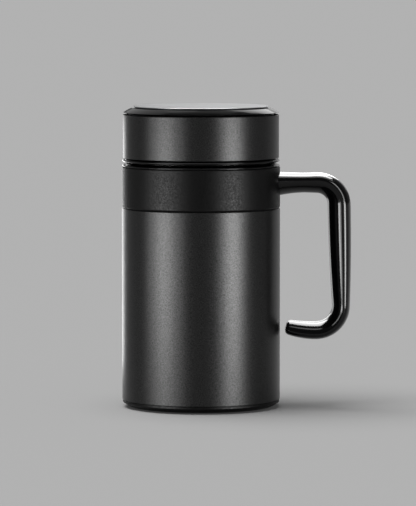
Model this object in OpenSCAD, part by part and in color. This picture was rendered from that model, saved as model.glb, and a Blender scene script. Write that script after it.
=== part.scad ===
// Insulated drinking mug with a screw lid and an open J-shaped handle.
// Z is up, the origin is the centre of the foot on the table, and the handle points along +X.

/* [Body] */
// Outer diameter of the painted wall and of the collar
body_d = 86.2; // [78:0.2:100]
// Height of the painted wall, from the foot seam to the collar seam
wall_h = 104.3; // [85:0.1:130]
// Thickness of the outer steel
shell_t = 0.5; // [0.4:0.1:0.8]
// Thickness of the steel liner
liner_t = 0.4; // [0.3:0.1:0.6]
// Vacuum gap between the liner and the outer neck
neck_gap = 0.8; // [0.6:0.1:1.2]
// Vacuum gap under the liner's floor
floor_gap = 2.6; // [2.2:0.1:6]
// Inside radius of the liner's bottom corner
liner_corner_r = 9; // [5:0.5:14]
// Height of the rolled lip
lip_h = 1.4; // [1:0.1:2]
// How far the lip stands out over the neck
lip_over = 0.5; // [0.3:0.05:0.7]
// Rounding of the lip's two edges
lip_round = 0.6; // [0.3:0.1:0.9]
// Height of the step that centres the collar
register_h = 2.5; // [1.5:0.1:5]

/* [Vacuum parts] */
// Thickness of the welded bottom
bottom_t = 0.6; // [0.4:0.1:0.9]
// Height of the welded bottom's upturned rim
bottom_rim_h = 3.5; // [2:0.1:6]
// Diameter of the pump-out hole
pump_d = 3; // [2:0.1:4]
// Diameter of the sealing bead
bead_d = 8; // [6:0.1:12]
// Height of the sealing bead
bead_h = 1; // [0.6:0.1:2]
// Diameter of the getter
getter_d = 10; // [6:0.1:16]
// Height of the getter
getter_h = 1.5; // [0.8:0.1:2]
// Distance of the getter from the axis
getter_x = 20; // [14:0.5:28]
// Thickness of the copper foil
foil_t = 0.15; // [0.1:0.05:0.2]
// Height of the copper foil
foil_h = 78; // [40:1:82]

/* [Foot] */
// Height of the pad's face below the base cap
pad_proud = 0.5; // [0.3:0.1:0.9]
// Thickness of the silicone pad
pad_t = 1.5; // [1:0.1:2.4]
// Diameter of the silicone pad
pad_d = 68; // [50:0.5:74]
// Height of the visible chamfered foot
foot_h = 4; // [3.4:0.1:5]
// Height of the foot's straight band above its chamfer
foot_edge = 0.8; // [0.4:0.1:1.6]
// Width of the foot's chamfer
foot_chamfer = 4.2; // [3:0.1:5]
// Swell of the foot's chamfer
foot_swell = 0.25; // [0.1:0.05:0.6]
// Thickness of the base cap's floor
cap_floor_t = 1.4; // [1:0.1:2]
// Height of the base cap's spigot inside the wall
cap_spigot_h = 5; // [3:0.1:8]
// Thickness of the base cap's spigot
cap_spigot_t = 2; // [1.2:0.1:3]

/* [Collar] */
// Height of the collar
collar_h = 22.5; // [20:0.1:30]
// Thickness of the collar's skirt
collar_t = 2.2; // [1.8:0.1:2.6]
// Thickness of the collar's top
collar_top_t = 2.2; // [1.5:0.1:3]
// Edge break on each side of a visible seam
seam = 0.3; // [0.2:0.05:0.4]

/* [Neck sleeve] */
// Wall of the threaded sleeve
sleeve_t = 1.4; // [1.2:0.1:1.7]
// Height of the sleeve's visible flange
flange_h = 1.6; // [1.2:0.1:2]
// How far the flange stays inside the collar
flange_inset = 0.25; // [0.1:0.05:0.5]
// Bulge of each glossy ring between its edges
bead = 0.5; // [0.3:0.05:0.7]
// Height of the step above the flange
step_h = 0.8; // [0.5:0.1:0.9]
// How far the step stays inside the flange
step_inset = 1.6; // [1:0.1:2.4]
// Thickness of the gasket ring
gasket_d = 0.9; // [0.7:0.05:1.2]

/* [Thread] */
// Number of thread starts
thread_starts = 3; // [2:1:3]
// Distance from one ridge to the next
thread_pitch = 4; // [3.8:0.1:4.2]
// Height of a ridge
thread_h = 1.1; // [0.9:0.05:1.2]
// Width of a ridge at its crest
crest_w = 0.9; // [0.6:0.1:1]
// Width of a ridge at its foot
ridge_w = 2.3; // [2:0.1:2.4]
// Plain stretch of the sleeve above its thread
thread_top = 1.5; // [1:0.1:3]
// Plain stretch of the cap below its thread
thread_low = 0.7; // [0.5:0.1:2]
// Angle over which a ridge fades in and out
run_out = 24; // [12:1:40]

/* [Lid] */
// How far the lid's painted sleeve stays inside the wall
lid_inset = 0.6; // [0.3:0.05:1.5]
// Gap from the neck flange to the lid
lid_gap = 1.2; // [1.1:0.1:1.8]
// Height of the glossy ring under the lid
ring_h = 2.1; // [1.6:0.1:2.6]
// How far the glossy ring stands out from the lid's sleeve
ring_proud = 0.35; // [0.2:0.05:0.6]
// Height of the lid's painted sleeve
lid_shell_h = 23.5; // [20:0.1:30]
// Thickness of the lid's painted sleeve
lid_shell_t = 0.5; // [0.4:0.1:0.8]
// Wall of the threaded cap
cap_wall = 1.85; // [1.6:0.05:2.2]
// Wall of the cap above its ceiling
cap_upper_t = 1.5; // [1.2:0.1:1.9]
// How far the cap's wall stops below the top of the painted sleeve
cap_drop = 1; // [0.5:0.1:2]
// Height of the lid's insulated space, from the lip to the top ring
lid_head = 10; // [9:0.1:16]
// Space between the lip and the cap's ceiling
ceiling_gap = 1.2; // [0.6:0.1:1.8]
// Thickness of the cap's ceiling
ceiling_t = 2; // [1.5:0.1:2.4]
// Depth of the plug below the lip
plug_depth = 8.5; // [7:0.1:14]
// Gap between the plug and the mouth
plug_gap = 1.4; // [1.1:0.1:2]
// Wall of the plug
plug_wall = 2.8; // [2.2:0.1:4]
// Floor of the plug
plug_floor_t = 1.6; // [1.2:0.1:2.4]
// Height of the seal's groove
groove_h = 3.6; // [3:0.1:4.4]
// Depth of the seal's groove
groove_depth = 1.3; // [1:0.1:1.6]
// Height of the groove above the plug's underside
groove_up = 2.6; // [1.6:0.1:3]

/* [Lid top] */
// Height of the chamfered top ring
top_h = 3.5; // [3.2:0.1:5]
// Width of the top ring's chamfer
top_chamfer = 4.7; // [3:0.1:7]
// Swell of the top ring's chamfer
top_swell = 0.12; // [0.05:0.01:0.4]
// Height of the top ring's straight edge
top_edge = 1; // [0.3:0.1:1.5]
// Thickness of the plate under the disc
top_plate_t = 2; // [1.5:0.1:2.4]
// Height of the top cap's spigot
top_spigot_h = 5.5; // [3:0.1:6]
// Thickness of the top cap's spigot
top_spigot_t = 1.6; // [1.2:0.1:2.4]
// Width of the top ring's flat rim round the disc
rim_w = 0.75; // [0.3:0.05:2]
// Thickness of the metal disc at its edge
disc_t = 1.6; // [1.2:0.1:2]
// Width of the bevel round the disc
disc_bevel = 0.35; // [0.2:0.05:0.6]
// Rise of the disc's dome
disc_dome = 0.5; // [0.3:0.1:0.8]
// Height of the disc's edge above the top ring
disc_proud = 1; // [0.5:0.05:1.1]
// Thickness of the adhesive film
glue_t = 0.2; // [0.1:0.05:0.3]
// Margin of the adhesive film inside the disc
glue_margin = 1.5; // [0.5:0.1:4]

/* [Handle] */
// Depth of the arm's centre line below the collar's top
arm_drop = 8.8; // [8:0.1:12]
// Distance of the grip's upper end from the wall, to its centre line
grip_reach = 32.3; // [30:0.1:42]
// Centre line radius of the upper bend
upper_bend_r = 12; // [10:0.1:15]
// Outward lean of the grip
grip_lean = 1.14; // [0.5:0.02:4]
// Straight length of the grip
grip_l = 55; // [45:0.5:58]
// Centre line radius of the lower bend
lower_bend_r = 13.8; // [11:0.1:15]
// Length of the hook at the free end
hook_l = 14.2; // [8:0.1:14.6]
// Upward curl of the hook
hook_rise = 12; // [4:0.5:20]
// Thickness of the arm at the collar
root_t = 12.8; // [11.6:0.1:14]
// Thickness of the arm
arm_t = 10.8; // [9:0.1:12.6]
// Thickness of the grip at its upper end
grip_t = 12.6; // [10:0.1:14]
// Thickness of the grip at its lower end
grip_end_t = 9.8; // [8:0.1:12]
// Thickness of the hook at its free end
tip_t = 8.3; // [7:0.1:10]
// Width of the arm at the collar
root_w = 21; // [18:0.1:24]
// Width of the arm
arm_w = 18.5; // [15:0.1:20]
// Width of the grip
grip_w = 18; // [14:0.1:22]
// Width of the hook at its free end
tip_w = 14; // [10:0.1:16]
// How far the section's widest place is drawn to its outer side
egg = 0.35; // [0:0.01:0.45]
// Length over which the arm flares into the collar
flare_l = 14; // [6:0.1:18]
// Share of the flare that goes to the arm's underside
flare_low = 0.75; // [0.5:0.05:1]
// Rounding of the free end
tip_round = 2.4; // [1.5:0.1:3]

/* [Handle screws] */
// Diameter of a screw
screw_d = 2.4; // [2:0.1:2.8]
// Length of a screw below its head
screw_l = 12; // [9:0.1:15]
// Diameter of a screw head
head_d = 4.8; // [4.2:0.1:5.2]
// Height of a screw head
head_h = 1.5; // [1:0.1:1.7]
// Distance between the two screws
screw_pitch = 7.6; // [6.4:0.1:8.4]
// Margin of the collar's boss round the screw heads
boss_margin = 1; // [0.6:0.1:1.4]
// Length of the slots in a screw head
slot_l = 3.2; // [2.4:0.1:3.8]
// Width of the slots in a screw head
slot_w = 0.8; // [0.5:0.1:1]
// Depth of the slots in a screw head
slot_depth = 0.7; // [0.4:0.1:0.8]

/* [Clearances] */
// Gap between pieces pushed together by hand
fit = 0.1; // [0.05:0.01:0.15]
// Gap left for a weld or a bond
bond_gap = 0.15; // [0.05:0.01:0.2]
// Gap from a thread's crest to the wall it faces
thread_gap = 0.4; // [0.35:0.01:0.5]
// Gap along the axis between the bearing flanks of the thread
flank_gap = 0.3; // [0.3:0.01:0.5]
// Gap between the seal and its groove
seal_gap = 0.15; // [0.1:0.01:0.3]
// Gap between the seal's lips and the mouth
wipe_gap = 0.3; // [0.3:0.01:0.5]
// Gap round a screw in the collar
screw_gap = 0.2; // [0.1:0.01:0.3]
// Gap between a screw head and the neck
head_gap = 0.5; // [0.3:0.01:0.7]
// Gap round the foam puck
foam_gap = 0.3; // [0.2:0.05:0.6]

/* [Hidden] */
$fn = 128;
// Steps of a profile's rounding and of a sweep
arc_n = 6;
bend_n = 14;
grip_n = 10;
section_n = 28;
ridge_n = 30;
// Depth that one solid is sunk into another of the same piece, and that a cut runs past a face
sink = 0.5;
// Depth of a thread ridge's crest under the wall where the ridge fades out
fade_in = 0.12;
// Depth of the handle's root inside the collar's face before the saddle is cut
root_in = 2;

// Levels, from the table up
cap_z = pad_proud;
foot_z = cap_z + foot_h;
collar_z = foot_z + wall_h;
sleeve_z = collar_z + collar_h;
lid_z = sleeve_z + flange_h + lid_gap;
lid_shell_z = lid_z + ring_h;
top_z = lid_shell_z + lid_shell_h + seam;
rim_z = top_z + top_h;
lip_z = top_z - lid_head;
ceiling_z = lip_z + ceiling_gap;
plug_z = lip_z - plug_depth;
recess_z = rim_z + disc_proud - disc_t - glue_t;
cap_top_z = lid_shell_z + lid_shell_h - cap_drop;
bottom_z = foot_z + cap_spigot_h + bead_h + fit;
liner_z = bottom_z + bottom_t + floor_gap + liner_t;
arm_z = sleeve_z - arm_drop;

// Radii, from the lid's sleeve in to the mouth
body_r = body_d / 2;
lid_r = body_r - lid_inset;
cap_r = lid_r - lid_shell_t - bond_gap;
bore_r = cap_r - cap_wall;
crest_r = bore_r - thread_gap;
sleeve_r = crest_r - thread_h;
sleeve_in_r = sleeve_r - sleeve_t;
neck_r = sleeve_in_r - fit;
liner_r = neck_r - shell_t - neck_gap;
mouth_r = liner_r - liner_t;
plug_r = mouth_r - plug_gap;
groove_r = plug_r - groove_depth;
shell_in_r = body_r - shell_t;
collar_in_r = body_r - collar_t;
register_r = collar_in_r - fit;
flange_r = body_r - flange_inset;
step_r = flange_r - step_inset;
top_r = lid_r - seam / 2;
recess_r = top_r - top_chamfer - rim_w;
disc_r = recess_r - fit;

// Thread: the cap's ridges lie under the neck's, one flank gap apart, and both fill the height there is
lead = thread_starts * thread_pitch;
flank_slope = (ridge_w - crest_w) / 2 / thread_h;
ridge_apart = crest_w + flank_slope * (thread_h - thread_gap) + flank_gap;
sleeve_top_z = lip_z - lip_h - gasket_d - fit;
cap_thread_z = lid_z + thread_low + ridge_w / 2;
neck_thread_z = cap_thread_z + ridge_apart;
ridge_turn = 360 / lead * (sleeve_top_z - thread_top - ridge_w / 2 - neck_thread_z);

// Handle screws
boss_x = neck_r + head_h + head_gap;
boss_w = screw_pitch + head_d + 2 * boss_margin;
boss_h = head_d + 2 * boss_margin;

// Points of an arc about c, from angle a to angle b
function arc(c, r, a, b) = [for (i = [0 : arc_n])
  c + r * [cos(a + (b - a) * i / arc_n), sin(a + (b - a) * i / arc_n)]];

// Points from p to q along a curve that swells to the right of the way by s
function swell(p, q, s) = let(d = (q - p) / norm(q - p))
  [for (i = [0 : arc_n]) let(t = i / arc_n)
    p + (q - p) * t + [d[1], -d[0]] * 4 * s * t * (1 - t)];

// A solid turned about the mug's axis
module turned(profile) {
  rotate_extrude()
    polygon(profile);
}

// A ring with a square section
module tube(r_in, r_out, z, h) {
  turned([[r_in, z], [r_out, z], [r_out, z + h], [r_in, z + h]]);
}

// A solid through rings of points that run counter-clockwise seen along the way
module skin(rings) {
  n = len(rings[0]);
  last = len(rings) - 1;
  sides = [for (i = [0 : last - 1], j = [0 : n - 1]) let(k = (j + 1) % n) each [
    [i * n + j, i * n + k, (i + 1) * n + k],
    [i * n + j, (i + 1) * n + k, (i + 1) * n + j]]];
  first_end = [for (j = [n - 1 : -1 : 0]) j];
  last_end = [for (j = [0 : n - 1]) last * n + j];
  polyhedron([for (ring = rings) each ring], concat([first_end, last_end], sides));
}

// Section of a thread ridge at angle p along it, with side 1 outward and -1 inward
function ridge_ring(wall_r, side, z, p) = let(
    fade = min(1, p / run_out, (ridge_turn - p) / run_out),
    low = wall_r - side * sink,
    high = wall_r + side * (thread_h * fade - fade_in * (1 - fade)),
    half = ridge_w / 2 + flank_slope * sink,
    rise = z + lead * p / 360,
    flat = [[low, -half], [high, -crest_w / 2], [high, crest_w / 2], [low, half]])
  [for (i = [0 : 3]) let(q = flat[side > 0 ? i : 3 - i]) [q[0] * cos(p), q[0] * sin(p), rise + q[1]]];

// The ridges of every start, on a wall of the given radius
module thread(wall_r, side, z) {
  for (k = [0 : thread_starts - 1])
    rotate([0, 0, 360 * k / thread_starts])
      skin([for (i = [0 : ridge_n]) ridge_ring(wall_r, side, z, ridge_turn * i / ridge_n)]);
}

// Painted steel tube, drawn in at the shoulder to a neck
module outer_shell() {
  k = shell_t * tan(22.5);
  shoulder_z = collar_z + register_h;
  neck_z = shoulder_z + register_r - neck_r;
  top = lip_z - lip_h;
  color("#2b2c2e")
    turned([[body_r, foot_z], [body_r, collar_z - seam], [body_r - seam, collar_z],
      [register_r, collar_z], [register_r, shoulder_z], [neck_r, neck_z], [neck_r, top],
      [neck_r - shell_t, top], [neck_r - shell_t, neck_z - k], [register_r - shell_t, shoulder_z - k],
      [register_r - shell_t, collar_z - shell_t], [shell_in_r, collar_z - shell_t], [shell_in_r, foot_z]]);
}

// Steel cup with a rolled lip that covers the end of the outer neck
module inner_liner() {
  lip_r = neck_r + lip_over;
  color("#b9babc")
    turned(concat([[0, liner_z - liner_t]],
      arc([mouth_r - liner_corner_r, liner_z + liner_corner_r], liner_corner_r + liner_t, -90, 0),
      [[liner_r, lip_z - lip_h], [lip_r, lip_z - lip_h]],
      arc([lip_r - lip_round, lip_z - lip_round], lip_round, 0, 90),
      arc([mouth_r + lip_round, lip_z - lip_round], lip_round, 90, 180),
      arc([mouth_r - liner_corner_r, liner_z + liner_corner_r], liner_corner_r, 0, -90),
      [[0, liner_z]]));
}

// Steel disc with an upturned rim, welded into the outer shell
module shell_bottom() {
  r = shell_in_r - fit / 2;
  color("#a6a7a9")
    difference() {
      turned([[0, bottom_z], [r, bottom_z], [r, bottom_z + bottom_rim_h],
        [r - bottom_t, bottom_z + bottom_rim_h], [r - bottom_t, bottom_z + bottom_t],
        [0, bottom_z + bottom_t]]);
      translate([0, 0, bottom_z - sink])
        cylinder(d = pump_d, h = bottom_t + 2 * sink);
    }
}

// Bead that closes the pump-out hole
module vacuum_plug() {
  color("#8d8f92") {
    translate([0, 0, bottom_z - bead_h])
      cylinder(d = bead_d, h = bead_h);
    translate([0, 0, bottom_z - sink])
      cylinder(d = pump_d - fit, h = bottom_t + sink);
  }
}

// Pressed pellet that takes up stray gas
module getter() {
  color("#6f7073")
    translate([-getter_x, 0, bottom_z + bottom_t])
      cylinder(d = getter_d, h = getter_h);
}

// Copper foil wrapped round the liner
module foil_wrap() {
  color("#b8703f")
    tube(liner_r + fit, liner_r + fit + foil_t, liner_z + liner_corner_r, foil_h);
}

// Moulded foot that plugs into the wall's lower end
module base_cap() {
  spigot_r = shell_in_r - fit;
  foot_r = body_r - seam;
  floor_z = pad_t + cap_floor_t;
  color("#1c1c1e")
    turned(concat([[pad_d / 2 + fit, cap_z]],
      swell([foot_r - foot_chamfer, cap_z], [foot_r, foot_z - seam - foot_edge], foot_swell),
      [[foot_r, foot_z - seam], [spigot_r, foot_z - seam], [spigot_r, foot_z + cap_spigot_h],
        [spigot_r - cap_spigot_t, foot_z + cap_spigot_h], [spigot_r - cap_spigot_t, floor_z],
        [0, floor_z], [0, pad_t], [pad_d / 2 + fit, pad_t]]));
}

// Silicone pad that the mug stands on
module foot_pad() {
  color("#303032")
    cylinder(d = pad_d, h = pad_t);
}

// Moulded collar with an inner boss for the handle's screws
module handle_collar() {
  color("#1a1a1c")
    difference() {
      union() {
        turned([[collar_in_r, collar_z], [body_r - seam, collar_z], [body_r, collar_z + seam],
          [body_r, sleeve_z - seam], [body_r - seam, sleeve_z], [neck_r + fit, sleeve_z],
          [neck_r + fit, sleeve_z - collar_top_t], [collar_in_r, sleeve_z - collar_top_t]]);
        translate([boss_x, -boss_w / 2, arm_z - boss_h / 2])
          cube([collar_in_r + sink - boss_x, boss_w, boss_h]);
      }
      screw_axes()
        cylinder(d = screw_d + 2 * screw_gap, h = body_r);
    }
}

// The screws' places, with Z along the screw and 0 under its head
module screw_axes() {
  for (y = [-1, 1])
    translate([boss_x, y * screw_pitch / 2, arm_z])
      rotate([0, 90, 0])
        children();
}

// Pan-head screws with a cross in the head
module handle_screws() {
  color("#9a9b9d")
    screw_axes()
      difference() {
        union() {
          cylinder(d = screw_d, h = screw_l);
          translate([0, 0, -head_h])
            cylinder(d = head_d, h = head_h);
        }
        for (a = [0, 90])
          rotate([0, 0, a])
            translate([-slot_l / 2, -slot_w / 2, -head_h - sink])
              cube([slot_l, slot_w, slot_depth + sink]);
      }
}

// Handle: runs of its centre line as length, clockwise turn and number of steps
root_x = body_r - root_in;
arm_l = root_in + grip_reach - upper_bend_r * cos(grip_lean);
upper_turn = 90 - grip_lean;
lower_turn = 90 + grip_lean;
upper_l = upper_bend_r * upper_turn * PI / 180;
lower_l = lower_bend_r * lower_turn * PI / 180;
grip_s = arm_l + upper_l;
hook_s = grip_s + grip_l + lower_l;
handle_runs = [[arm_l, 0, grip_n], [upper_l, upper_turn, bend_n], [grip_l, 0, grip_n],
  [lower_l, lower_turn, bend_n], [hook_l, hook_rise, grip_n]];
thickness = concat(flare(root_t, arm_t), taper(grip_s, grip_l, grip_t, grip_end_t),
  taper(hook_s, hook_l, grip_end_t, tip_t));
width = concat(flare(root_w, arm_w), taper(grip_s, grip_l, grip_w, grip_w),
  taper(hook_s, hook_l, grip_w, tip_w));
sag = flare((root_t - arm_t) * (flare_low - 0.5), 0);
egg_peak = max([for (t = [0 : 1 : 180]) sin(t) * (1 + egg * cos(t))]);

// A size along the arm that goes from a at the collar to b, fast at first
function flare(a, b) = concat([[0, a]], [for (i = [0 : arc_n]) let(t = i / arc_n)
  [root_in + flare_l * t, b + (a - b) * (1 - t) * (1 - t)]]);

// A size along a run that goes from a to b, slowly at first
function taper(s, l, a, b) = [for (i = [0 : arc_n]) let(t = i / arc_n) [s + l * t, a + (b - a) * t * t]];

// Place and heading after going s along a run from at
function go(at, run, s) = run[1] == 0
  ? [at[0] + s * cos(at[2]), at[1] + s * sin(at[2]), at[2]]
  : let(r = run[0] / run[1] * 180 / PI, e = at[2] - run[1] * s / run[0])
    [at[0] + r * (sin(at[2]) - sin(e)), at[1] + r * (cos(e) - cos(at[2])), e];

// Stations of the centre line from run i on, each as x, z, heading and length so far
function stations(i, at, s) = i == len(handle_runs) ? [concat(at, s)] : let(run = handle_runs[i])
  concat([for (k = [0 : run[2] - 1]) let(d = run[0] * k / run[2]) concat(go(at, run, d), s + d)],
    stations(i + 1, go(at, run, run[0]), s + run[0]));

// Egg-shaped section at a station, moved on along the way and drawn in
function section(at, on, draw) = let(a = lookup(at[3], thickness) / 2 - draw,
    b = (lookup(at[3], width) / 2 - draw) / egg_peak,
    x = at[0] + on * cos(at[2]), z = at[1] + on * sin(at[2]))
  [for (j = [0 : section_n - 1]) let(t = 360 * j / section_n, u = a * cos(t) - lookup(at[3], sag))
    [x - u * sin(at[2]), b * sin(t) * (1 + egg * cos(t)), z + u * cos(at[2])]];

// Moulded handle with a saddle end against the collar
module handle() {
  way = stations(0, [root_x, arm_z, 0], 0);
  end = way[len(way) - 1];
  color("#0c0c0d")
    difference() {
      skin(concat([for (at = way) section(at, 0, 0)],
        [for (a = [30 : 30 : 90]) section(end, tip_round * sin(a), tip_round * (1 - cos(a)))]));
      cylinder(r = body_r + fit / 2, h = rim_z);
      screw_axes()
        cylinder(d = screw_d + fit, h = screw_l + fit);
    }
}

// Threaded sleeve pushed over the steel neck, with a flange that holds the collar down
module neck_sleeve() {
  flange_z = sleeve_z + flange_h;
  color("#0f0f10") {
    turned(concat([[sleeve_in_r, sleeve_z]],
      swell([flange_r - bead, sleeve_z], [flange_r - bead, flange_z], bead),
      [[step_r, flange_z], [step_r, flange_z + step_h], [sleeve_r, flange_z + step_h],
        [sleeve_r, sleeve_top_z - seam], [sleeve_r - seam, sleeve_top_z], [sleeve_in_r, sleeve_top_z]]));
    thread(sleeve_r, 1, neck_thread_z);
  }
}

// Soft ring between the sleeve and the rolled lip
module neck_gasket() {
  color("#4a4a4c")
    translate([0, 0, lip_z - lip_h - (gasket_d + fit) / 2])
      rotate_extrude()
        translate([neck_r + gasket_d / 2 + fit / 2, 0])
          circle(d = gasket_d);
}

// Silicone ring with two wiping lips
module lid_seal() {
  r = groove_r + seal_gap;
  lip_r = mouth_r - wipe_gap;
  low = plug_z + groove_up + seal_gap;
  high = low + groove_h - 2 * seal_gap;
  step = (high - low) / 5;
  color("#d8d8d4")
    turned([[r, low], [plug_r, low], [lip_r, low + step], [plug_r, low + 2 * step],
      [plug_r, high - 2 * step], [lip_r, high - step], [plug_r, high], [r, high]]);
}

// Threaded cap with a hollow plug, and the glossy ring under the lid
module lid_inner_cap() {
  groove_z = plug_z + groove_up;
  cup_r = plug_r - plug_wall;
  ring_r = lid_r + ring_proud;
  upper_r = cap_r - cap_upper_t;
  color("#111112") {
    turned(concat([[0, plug_z], [plug_r - seam, plug_z], [plug_r, plug_z + seam], [plug_r, groove_z],
        [groove_r, groove_z], [groove_r, groove_z + groove_h], [plug_r, groove_z + groove_h],
        [plug_r, ceiling_z], [bore_r, ceiling_z], [bore_r, lid_z + seam], [bore_r + seam, lid_z]],
      swell([ring_r - bead, lid_z], [ring_r - bead, lid_shell_z], bead),
      [[cap_r, lid_shell_z], [cap_r, cap_top_z], [upper_r, cap_top_z], [upper_r, ceiling_z + ceiling_t],
        [cup_r, ceiling_z + ceiling_t], [cup_r, plug_z + plug_floor_t], [0, plug_z + plug_floor_t]]));
    thread(bore_r, -1, cap_thread_z);
  }
}

// Foam puck in the plug
module lid_insulation() {
  low = plug_z + plug_floor_t;
  color("#e4e0d6")
    translate([0, 0, low])
      cylinder(r = plug_r - plug_wall - foam_gap, h = recess_z - top_plate_t - foam_gap - low);
}

// Painted steel sleeve of the lid
module lid_shell() {
  r_in = lid_r - lid_shell_t;
  top = lid_shell_z + lid_shell_h;
  edge = lid_shell_t / 2;
  color("#2b2c2e")
    turned([[r_in, lid_shell_z], [lid_r - edge, lid_shell_z], [lid_r, lid_shell_z + edge],
      [lid_r, top - edge], [lid_r - edge, top], [r_in, top]]);
}

// Glossy chamfered cap with a recess for the disc
module lid_top_cap() {
  spigot_r = cap_r - cap_upper_t - fit;
  plate_z = recess_z - top_plate_t;
  color("#0e0e0f")
    turned(concat([[spigot_r, top_z], [top_r, top_z]],
      swell([top_r, top_z + top_edge], [top_r - top_chamfer, rim_z], top_swell),
      [[recess_r, rim_z], [recess_r, recess_z], [0, recess_z], [0, plate_z],
        [spigot_r - top_spigot_t, plate_z], [spigot_r - top_spigot_t, top_z - top_spigot_h],
        [spigot_r, top_z - top_spigot_h]]));
}

// Film that holds the disc down
module disc_adhesive() {
  color("#5c5c58")
    translate([0, 0, recess_z])
      cylinder(r = disc_r - glue_margin, h = glue_t);
}

// Satin metal disc with a slight dome
module lid_disc() {
  low = recess_z + glue_t;
  color("#c9cacc")
    turned(concat([[0, low], [disc_r, low], [disc_r, low + disc_t - disc_bevel]],
      [for (i = [0 : arc_n]) let(t = 1 - i / arc_n)
        [(disc_r - disc_bevel) * t, low + disc_t + disc_dome * (1 - t * t)]]));
}

outer_shell();
inner_liner();
shell_bottom();
vacuum_plug();
getter();
foil_wrap();
base_cap();
foot_pad();
handle_collar();
handle();
handle_screws();
neck_sleeve();
neck_gasket();
lid_seal();
lid_inner_cap();
lid_insulation();
lid_shell();
lid_top_cap();
disc_adhesive();
lid_disc();
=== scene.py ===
import bmesh
import bpy
import math
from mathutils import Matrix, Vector


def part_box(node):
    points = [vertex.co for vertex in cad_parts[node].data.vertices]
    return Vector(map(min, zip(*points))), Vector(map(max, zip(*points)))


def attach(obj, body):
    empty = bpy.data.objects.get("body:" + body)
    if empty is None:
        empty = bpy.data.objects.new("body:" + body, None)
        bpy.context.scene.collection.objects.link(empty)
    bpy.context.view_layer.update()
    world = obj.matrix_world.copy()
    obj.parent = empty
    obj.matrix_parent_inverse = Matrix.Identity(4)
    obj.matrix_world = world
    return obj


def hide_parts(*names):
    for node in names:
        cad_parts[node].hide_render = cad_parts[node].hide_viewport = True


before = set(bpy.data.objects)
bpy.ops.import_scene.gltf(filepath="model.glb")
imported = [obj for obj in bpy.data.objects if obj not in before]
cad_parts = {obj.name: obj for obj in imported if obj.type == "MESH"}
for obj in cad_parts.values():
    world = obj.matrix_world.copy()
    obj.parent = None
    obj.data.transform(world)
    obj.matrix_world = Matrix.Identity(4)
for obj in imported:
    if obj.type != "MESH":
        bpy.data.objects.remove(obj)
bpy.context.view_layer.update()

# Liner: the cup that holds the drink, deep-drawn from stainless sheet.
# Its mouth is rolled outwards into a lip that caps the end of the outer neck, where the two are welded.
# The inside is electropolished, so the drawing marks are left only as faint rings.
MM = 0.001
TURN_STEPS = 192
WELD = MM / 500
EDGE_SEGMENTS = 3
EDGE_FROM_ANGLE = 32
SMOOTH_TO_ANGLE = 36
liner_t = 0.4 * MM
liner_corner_r = 9 * MM
liner_corner_steps = 12
liner_edge = 0.08 * MM
lip_h = 1.4 * MM
lip_w = 2.2 * MM
lip_round = 0.6 * MM
liner_low, liner_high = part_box("inner_liner")
lip_r = liner_high.x
lip_z = liner_high.z
mouth_r = lip_r - lip_w
liner_z = liner_low.z + liner_t


# Points of a rounding in a half outline, from one angle to another
def arc(centre, radius, start, end, steps=8):
    points = []
    for i in range(steps + 1):
        angle = math.radians(start + (end - start) * i / steps)
        points.append((centre[0] + radius * math.cos(angle), centre[1] + radius * math.sin(angle)))
    return points


# A round piece turned from its half outline of radius and height, as on a lathe
def turn(name, outline, steps=TURN_STEPS):
    bpy.ops.object.select_all(action="DESELECT")
    bpy.ops.mesh.primitive_plane_add(size=MM)
    piece = bpy.context.object
    piece.name = name
    piece.data.name = name
    bpy.ops.object.mode_set(mode="EDIT")
    bpy.ops.mesh.select_mode(type="VERT")
    bpy.ops.mesh.select_all(action="SELECT")
    bpy.ops.mesh.merge(type="CENTER")
    bpy.ops.transform.translate(value=(outline[0][0], 0, outline[0][1]))
    for here, there in zip(outline, outline[1:]):
        way = (there[0] - here[0], 0, there[1] - here[1])
        bpy.ops.mesh.extrude_vertices_move(TRANSFORM_OT_translate={"value": way})
    bpy.ops.mesh.select_all(action="SELECT")
    bpy.ops.mesh.spin(steps=steps, angle=2 * math.pi, center=(0, 0, 0), axis=(0, 0, 1))
    bpy.ops.mesh.select_all(action="SELECT")
    bpy.ops.mesh.remove_doubles(threshold=WELD)
    bpy.ops.mesh.normals_make_consistent(inside=False)
    bpy.ops.object.mode_set(mode="OBJECT")
    return piece


# Breaks a piece's sharp edges by a small rounding and shades it smooth between them
def soften_edges(piece, width):
    bpy.ops.object.select_all(action="DESELECT")
    piece.select_set(True)
    bpy.context.view_layer.objects.active = piece
    bpy.ops.object.modifier_add(type="BEVEL")
    rounding = piece.modifiers[-1]
    rounding.width = width
    rounding.segments = EDGE_SEGMENTS
    rounding.limit_method = "ANGLE"
    rounding.angle_limit = math.radians(EDGE_FROM_ANGLE)
    bpy.ops.object.modifier_apply(modifier=rounding.name)
    bpy.ops.object.shade_smooth_by_angle(angle=math.radians(SMOOTH_TO_ANGLE))
    bpy.ops.object.modifier_add(type="WEIGHTED_NORMAL")
    shading = piece.modifiers[-1]
    shading.keep_sharp = True
    bpy.ops.object.modifier_apply(modifier=shading.name)


# A colour written as sRGB hex, in the linear values that a shader takes
def linear(hex_colour):
    parts = [int(hex_colour[i:i + 2], 16) / 255 for i in (1, 3, 5)]
    return [c / 12.92 if c <= 0.04045 else ((c + 0.055) / 1.055) ** 2.4 for c in parts] + [1.0]


# Adds one node to a material or world, with its settings, its values and the links into it
def add_node(tree, kind, settings=None, values=None, links=None):
    node = tree.nodes.new(kind)
    for name, setting in (settings or {}).items():
        setattr(node, name, setting)
    for name, value in (values or {}).items():
        node.inputs[name].default_value = value
    for name, source in (links or {}).items():
        tree.links.new(source, node.inputs[name])
    return node


# An empty material, ready for its nodes
def new_material(name):
    material = bpy.data.materials.new(name)
    material.use_nodes = True
    material.node_tree.nodes.clear()
    return material, material.node_tree


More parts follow.
